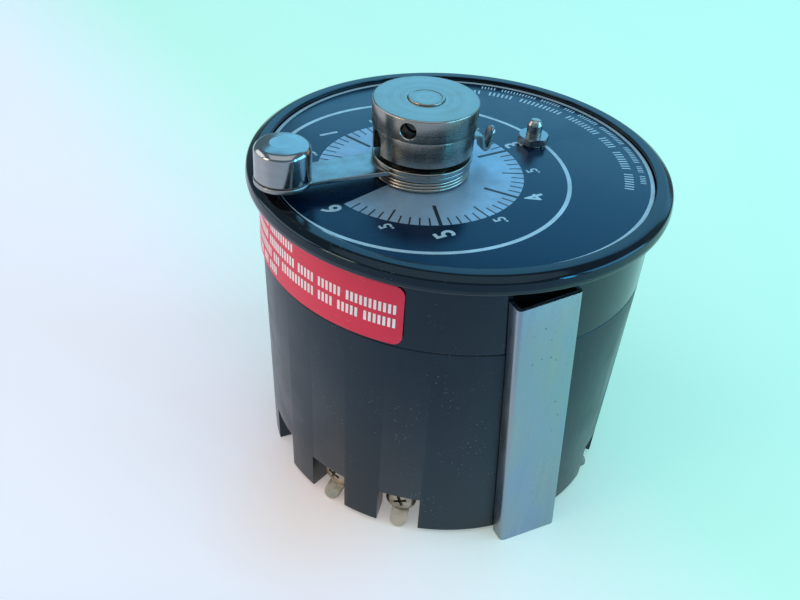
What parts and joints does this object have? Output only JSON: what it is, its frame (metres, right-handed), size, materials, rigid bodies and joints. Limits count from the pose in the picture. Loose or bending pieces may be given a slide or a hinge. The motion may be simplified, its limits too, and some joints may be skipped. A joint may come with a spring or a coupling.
{
  "type": "panel-mount interval timer",
  "caption": "Round black panel timer with a bezel, a printed dial, a turning set arm under a metal knob, clamp brackets and screw terminals in a notched rear rim.",
  "frame": {"origin": "under the middle of the case and bezel, at the height of the mounting brackets' feet, the surface it stands on with its dial up", "axes": "+Z out of the dial, +Y towards the top of the dial, +X to the dial's right as it is read"},
  "size_m": [0.1142, 0.1142, 0.1122],
  "materials": {
    "bakelite_gloss": "moulded phenolic, glossy",
    "bakelite_case": "moulded phenolic, satin with handling marks",
    "dial_paint": "dark blue-black enamel with pale silver printing",
    "label_red": null,
    "turned_nickel": "satin turned nickel",
    "chrome": "polished",
    "steel": "plain bright steel",
    "spring_steel": "drawn wire and strip",
    "chromate_zinc": "yellow chromate on zinc, iridescent",
    "terminal_tin": "tarnished tinned brass",
    "brass": "plain brass",
    "motor_grey": "plated steel shell",
    "coil_tape": "yellow winding tape",
    "phenolic": "brown phenolic",
    "white_plastic": "nylon"
  },
  "bodies": {
    "case": {"front_cover": "bakelite_gloss", "rear_case": "bakelite_case", "dial_plate": "dial_paint", "side_label": "label_red", "case_screw_1": "steel", "case_screw_2": "steel", "terminal_plate_1": "terminal_tin", "terminal_plate_2": "terminal_tin", "terminal_plate_3": "terminal_tin", "terminal_plate_4": "terminal_tin", "terminal_plate_5": "terminal_tin", "terminal_plate_6": "terminal_tin", "terminal_screw_1": "terminal_tin", "terminal_screw_2": "terminal_tin", "terminal_screw_3": "terminal_tin", "terminal_screw_4": "terminal_tin", "terminal_screw_5": "terminal_tin", "terminal_screw_6": "terminal_tin", "bracket_right": "chromate_zinc", "bracket_screw_right": "steel", "bracket_left": "chromate_zinc", "bracket_screw_left": "steel", "stop_post": "chrome", "stop_washer": "steel", "stop_nut": "steel", "spindle_bushing": "brass", "bushing_nut": "brass", "movement_front_plate": "brass", "movement_rear_plate": "brass", "pillar_1": "steel", "pillar_2": "steel", "pillar_3": "steel", "motor_can": "motor_grey", "motor_cover": "motor_grey", "motor_coil": "coil_tape", "switch_body": "phenolic", "switch_leaf": "spring_steel"},
    "drive": {"drive_sleeve": "brass", "main_wheel": "brass", "clutch_washer": "steel", "clutch_spring": "spring_steel", "clutch_collar": "brass", "switch_cam": "steel", "head_spring": "spring_steel"},
    "setting_head": {"set_arm": "steel", "arm_grip": "chrome", "hub_flange": "turned_nickel", "pointer": "steel", "collar": "turned_nickel", "set_knob": "turned_nickel", "knob_set_screw": "steel", "spindle": "steel", "spindle_clip": "spring_steel"},
    "arbor": {"arbor_with_pinion": "steel", "intermediate_gear": "brass"},
    "rotor": {"motor_rotor": "steel", "motor_shaft": "steel"},
    "plunger": {"switch_plunger": "white_plastic"}
  },
  "joints": [
    {"name": "spindle_turn", "type": "hinge", "parent": "case", "child": "drive", "pos_m": [0, 0.0121, 0.0911], "axis": [0, 0, 1], "range_deg": [-156.6, 173.8]},
    {"name": "head_press", "type": "slide", "parent": "drive", "child": "setting_head", "axis": [0, 0, 1], "range_m": [-0.0006, 0], "stiffness_N_per_m": 1500, "springref_m": 0.0015, "deforming": ["head_spring"]},
    {"name": "arbor_turn", "type": "hinge", "parent": "case", "child": "arbor", "pos_m": [-0.01801, -0.01038, 0.07], "axis": [0, 0, 1], "range_deg": [-869, 783]},
    {"name": "motor_turn", "type": "hinge", "parent": "case", "child": "rotor", "pos_m": [-0.00169, -0.01798, 0.05], "axis": [0, 0, 1], "range_deg": [-3132, 3476]},
    {"name": "plunger_press", "type": "slide", "parent": "case", "child": "plunger", "axis": [1, 0, 0], "range_m": [0, 0.0004], "stiffness_N_per_m": 200, "springref_m": -0.0005}
  ],
  "couplings": [
    {"joint": "arbor_turn", "follows": "spindle_turn", "ratio": -5},
    {"joint": "motor_turn", "follows": "spindle_turn", "ratio": 20}
  ]
}
